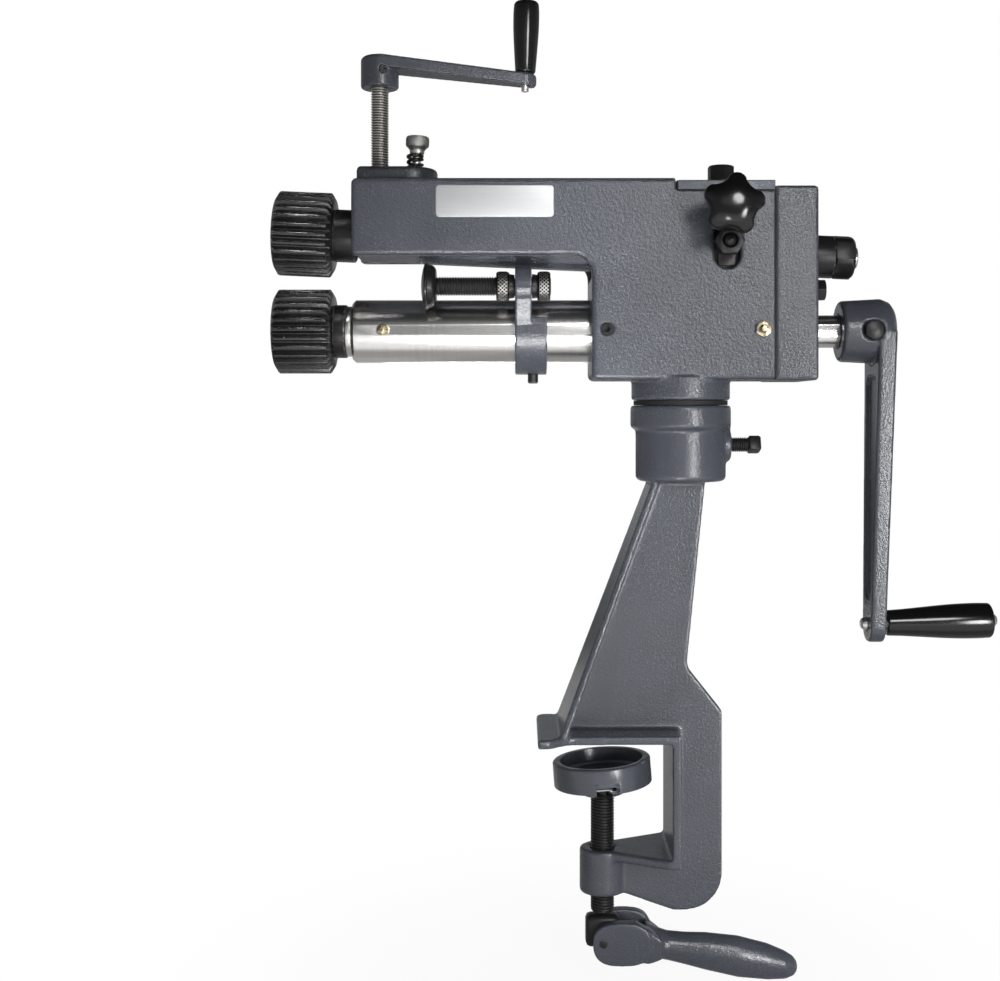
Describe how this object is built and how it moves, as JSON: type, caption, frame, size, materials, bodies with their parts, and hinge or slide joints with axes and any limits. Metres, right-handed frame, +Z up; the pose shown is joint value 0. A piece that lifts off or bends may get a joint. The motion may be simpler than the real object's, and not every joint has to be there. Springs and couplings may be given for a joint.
{
  "type": "sheet metal crimper",
  "caption": "Bench clamped hand cranked sheet metal crimper: geared upper and lower crimping rolls, pressure screw, sliding gauge and folding clamp handle.",
  "frame": {"origin": "underside of the bench clamp's upper jaw, on the axis of the clamp screw", "axes": "+X along the roll shafts from the rolls to the crank, -Y towards the operator's side with the knob, +Z up"},
  "size_m": [0.4904, 0.1244, 0.6646],
  "materials": {
    "casting_paint": "dark blue grey hammered paint",
    "bright_steel": "ground steel",
    "black_steel": "black oxide",
    "nickel": "nickel plated",
    "bronze": "sintered bronze",
    "plate_aluminium": "brushed",
    "black_plastic": "gloss black"
  },
  "bodies": {
    "pedestal": {"pedestal_casting": "casting_paint"},
    "swivel_lock": {"swivel_lock_screw": "black_steel"},
    "head": {"frame_casting": "casting_paint", "gear_cover": "casting_paint", "cover_bolts": "black_steel", "top_plate": "casting_paint", "top_plate_screws": "black_steel", "lower_tube": "bright_steel", "tube_set_screw": "black_steel", "lower_bushes": "bronze", "tube_oiler": "nickel", "body_oiler": "nickel", "name_plate": "plate_aluminium", "lift_spring": "black_steel"},
    "jack": {"jack_bolt": "black_steel"},
    "yoke": {"pivot_block": "black_steel", "pivot_bolts": "black_steel"},
    "knob": {"star_knob": "black_plastic", "star_knob_stud": "black_steel"},
    "swing": {"swing_arm": "casting_paint", "upper_bushes": "bronze", "lift_stud": "black_steel"},
    "lift_knob": {"lift_nut": "bright_steel"},
    "upper_spindle": {"upper_shaft": "bright_steel", "upper_gear": "black_steel", "upper_shaft_keys": "black_steel", "upper_roll": "black_steel", "upper_roll_nut": "black_steel", "upper_collar": "black_steel", "adjusting_sleeve": "black_steel", "adjusting_nut": "black_steel"},
    "drive_spindle": {"lower_shaft": "bright_steel", "lower_gear": "black_steel", "lower_shaft_keys": "black_steel", "lower_roll": "black_steel", "lower_roll_nut": "black_steel", "lower_collar": "black_steel", "thrust_washer": "bright_steel", "crank_arm": "casting_paint", "crank_bolt": "black_steel", "crank_grip_pin": "bright_steel"},
    "hand_grip": {"crank_grip": "black_plastic"},
    "thrust": {"thrust_button": "bright_steel"},
    "pressure": {"pressure_screw": "bright_steel", "pressure_crank_arm": "casting_paint", "pressure_set_screw": "black_steel", "pressure_grip_pin": "bright_steel"},
    "small_grip": {"pressure_grip": "black_plastic"},
    "gauge": {"gauge_bracket": "casting_paint"},
    "gauge_lock": {"gauge_set_screw": "black_steel"},
    "gauge_stop": {"gauge_rod": "black_steel", "gauge_disc": "black_steel"},
    "stop_nuts": {"gauge_nuts": "black_steel"},
    "pad": {"clamp_pad": "casting_paint", "pad_retaining_wire": "bright_steel"},
    "bench_screw": {"clamp_screw": "black_steel", "handle_pin": "bright_steel"},
    "bench_handle": {"clamp_handle": "casting_paint"}
  },
  "joints": [
    {"name": "head_swivel", "type": "hinge", "parent": "pedestal", "child": "head", "pos_m": [0.0531, 0, 0.2], "axis": [0, 0, 1], "continuous": true},
    {"name": "swivel_lock_turn", "type": "hinge", "parent": "pedestal", "child": "swivel_lock", "pos_m": [0.09, 0, 0.1966], "axis": [1, 0, 0], "range_deg": [-360, 0]},
    {"name": "crank_spin", "type": "hinge", "parent": "head", "child": "drive_spindle", "pos_m": [0, 0, 0.2734], "axis": [1, 0, 0], "continuous": true},
    {"name": "crank_grip_spin", "type": "hinge", "parent": "drive_spindle", "child": "hand_grip", "pos_m": [0.1796, 0, 0.075], "axis": [0.9997, 0, 0.0262], "continuous": true},
    {"name": "jack_turn", "type": "hinge", "parent": "head", "child": "jack", "pos_m": [0.0805, 0, 0.37], "axis": [0, 0, 1], "range_deg": [0, 144.1]},
    {"name": "pivot_lift", "type": "slide", "parent": "head", "child": "yoke", "axis": [0, 0, 1], "range_m": [-0.0006, 0]},
    {"name": "star_knob_turn", "type": "hinge", "parent": "yoke", "child": "knob", "pos_m": [0.079, -0.06, 0.3502], "axis": [0, -1, 0], "range_deg": [0, 360]},
    {"name": "swing_tilt", "type": "hinge", "parent": "yoke", "child": "swing", "pos_m": [0.0805, 0, 0.3305], "axis": [0, -1, 0], "range_deg": [0, 2.25], "deforming": ["lift_spring"]},
    {"name": "lift_nut_turn", "type": "hinge", "parent": "swing", "child": "lift_knob", "pos_m": [-0.12772, 0, 0.35527], "axis": [0.0434, 0, 0.9991], "range_deg": [-360, 360]},
    {"name": "upper_spin", "type": "hinge", "parent": "swing", "child": "upper_spindle", "pos_m": [0.08036, 0, 0.3272], "axis": [0.9991, 0, -0.0434], "continuous": true},
    {"name": "pressure_feed", "type": "slide", "parent": "head", "child": "thrust", "axis": [0, 0, 1], "range_m": [-0.0091, 0]},
    {"name": "pressure_screw_turn", "type": "hinge", "parent": "thrust", "child": "pressure", "pos_m": [-0.1513, 0, 0.42], "axis": [0, 0, 1], "range_deg": [-1873, 0]},
    {"name": "pressure_grip_spin", "type": "hinge", "parent": "pressure", "child": "small_grip", "pos_m": [-0.0524, 0, 0.4486], "axis": [0.0175, 0, 0.9998], "continuous": true},
    {"name": "gauge_slide", "type": "slide", "parent": "head", "child": "gauge", "axis": [1, 0, 0], "range_m": [0, 0.018]},
    {"name": "gauge_screw_turn", "type": "hinge", "parent": "gauge", "child": "gauge_lock", "pos_m": [-0.0472, 0, 0.245], "axis": [0, 0, 1], "range_deg": [-360, 0]},
    {"name": "gauge_nut_turn", "type": "hinge", "parent": "gauge", "child": "stop_nuts", "pos_m": [-0.054, -0.0245, 0.302], "axis": [1, 0, 0], "range_deg": [-926, 309]},
    {"name": "gauge_rod_feed", "type": "slide", "parent": "gauge", "child": "gauge_stop", "axis": [1, 0, 0], "range_m": [-0.0015, 0.0045]},
    {"name": "clamp_feed", "type": "slide", "parent": "pedestal", "child": "pad", "axis": [0, 0, 1], "range_m": [-0.028, 0.012]},
    {"name": "clamp_screw_turn", "type": "hinge", "parent": "pad", "child": "bench_screw", "pos_m": [0, 0, -0.09], "axis": [0, 0, 1], "range_deg": [-5041, 2161]},
    {"name": "handle_fold", "type": "hinge", "parent": "bench_screw", "child": "bench_handle", "pos_m": [0, 0, -0.1372], "axis": [0, 1, 0], "range_deg": [0, 82]}
  ],
  "couplings": [
    {"joint": "upper_spin", "follows": "crank_spin", "ratio": -1},
    {"joint": "jack_turn", "follows": "pivot_lift", "rad_per_m": -4188.8},
    {"joint": "pressure_screw_turn", "follows": "pressure_feed", "rad_per_m": 3590.4},
    {"joint": "swing_tilt", "follows": "pressure_feed", "rad_per_m": -4.3141},
    {"joint": "gauge_nut_turn", "follows": "gauge_rod_feed", "rad_per_m": -3590.4},
    {"joint": "clamp_screw_turn", "follows": "clamp_feed", "rad_per_m": 3141.6}
  ]
}
